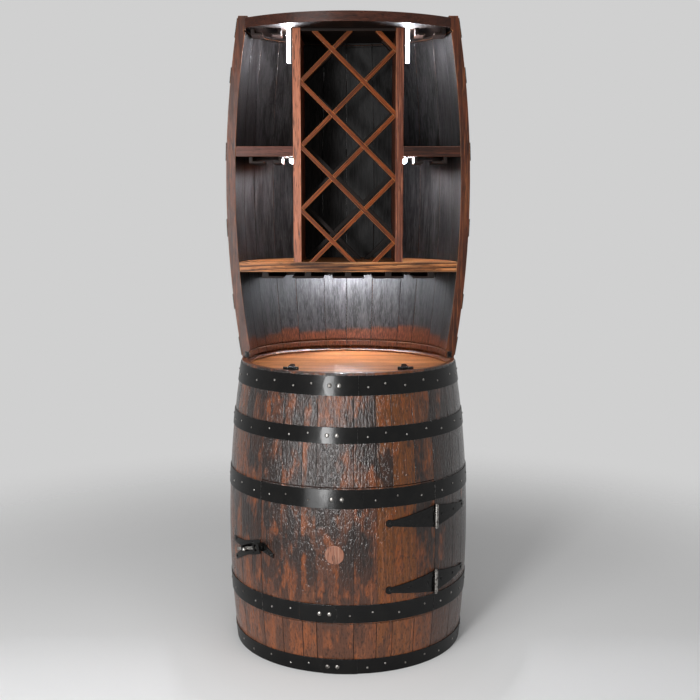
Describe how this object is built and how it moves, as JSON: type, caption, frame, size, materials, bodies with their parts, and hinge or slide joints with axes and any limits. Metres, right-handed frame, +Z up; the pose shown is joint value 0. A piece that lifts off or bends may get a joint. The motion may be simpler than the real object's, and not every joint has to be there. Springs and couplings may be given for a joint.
{
  "type": "wine rack",
  "caption": "Wine rack made from two oak barrels: an upright half barrel with bottle lattice, shelves and stemware rails on a barrel cupboard with a hinged door and lift-up head lid.",
  "frame": {"origin": "middle of the cupboard's base, on the floor", "axes": "+Z up, front faces -Y, +X to the right seen from the front"},
  "size_m": [0.6628, 0.6648, 1.692],
  "materials": {
    "stave_oak": "dark stained oak under gloss lacquer",
    "charred_oak": "charred inside, stained outside",
    "bung_wood": "lacquered hardwood",
    "inside_wood": "plain oiled oak",
    "hoop_steel": "gloss black paint",
    "nail_steel": "bright",
    "black_iron": "satin black",
    "head_wood": "amber lacquer",
    "shelf_wood": "red-brown stain",
    "lattice_wood": "satin lacquer",
    "dark_wood": "black-brown stain",
    "light_housing": "white",
    "light_lens": "frosted, lit"
  },
  "bodies": {
    "cabinet": {"base_boards": "inside_wood", "cabinet_foot_hoop": "hoop_steel", "cabinet_head_hoop": "hoop_steel", "cabinet_hoop_nails": "nail_steel", "cabinet_hoop_rivets": "hoop_steel", "cabinet_lower_bilge_hoop": "hoop_steel", "cabinet_quarter_hoop": "hoop_steel", "cabinet_screws": "black_iron", "cabinet_upper_bilge_hoop": "hoop_steel", "cupboard_shelf": "inside_wood", "divider_left": "shelf_wood", "divider_right": "shelf_wood", "door_hinge_pins": "nail_steel", "door_stop": "inside_wood", "foot_plates": "nail_steel", "front_lattice_falling": "lattice_wood", "front_lattice_rising": "lattice_wood", "head_boards": "head_wood", "jamb_hinge_straps": "black_iron", "latch_plate": "black_iron", "lattice_header": "dark_wood", "lid_hinge_pins": "nail_steel", "lid_ledge": "inside_wood", "lid_rear_leaves": "black_iron", "light_bases": "light_housing", "light_lenses": "light_lens", "main_shelf": "shelf_wood", "main_stem_rails": "dark_wood", "rack_hoop_nails": "nail_steel", "rack_hoops": "hoop_steel", "rack_staves": "charred_oak", "rail_stop": "dark_wood", "rear_lattice_falling": "lattice_wood", "rear_lattice_rising": "lattice_wood", "shelf_cleats": "inside_wood", "side_shelf_left": "shelf_wood", "side_shelf_right": "shelf_wood", "side_staves": "stave_oak", "side_stem_rails": "dark_wood", "staves_above_door": "stave_oak", "staves_below_door": "stave_oak", "top_board": "shelf_wood", "top_stem_rails": "dark_wood"},
    "door": {"door_staves": "stave_oak", "bung": "bung_wood", "door_battens": "inside_wood", "door_upper_bilge_hoop": "hoop_steel", "door_lower_bilge_hoop": "hoop_steel", "door_hoop_nails": "nail_steel", "door_hoop_rivets": "hoop_steel", "door_hinge_straps": "black_iron", "door_screws": "black_iron", "latch_keeper": "black_iron"},
    "lid": {"lid_boards": "head_wood", "lid_batten": "inside_wood", "lid_front_leaves": "black_iron", "lid_screws": "black_iron"},
    "latch_bolt": {"latch_bolt": "nail_steel"}
  },
  "joints": [
    {"name": "door_hinge", "type": "hinge", "parent": "cabinet", "child": "door", "pos_m": [0.22897, -0.24494, 0.3105], "axis": [0, 0, 1], "range_deg": [0, 110]},
    {"name": "lid_hinge", "type": "hinge", "parent": "cabinet", "child": "lid", "pos_m": [0, -0.1003, 0.7628], "axis": [-1, 0, 0], "range_deg": [0, 105]},
    {"name": "bolt_slide", "type": "slide", "parent": "cabinet", "child": "latch_bolt", "axis": [0.6526, -0.7122, 0.2588], "range_m": [0, 0.022]}
  ]
}
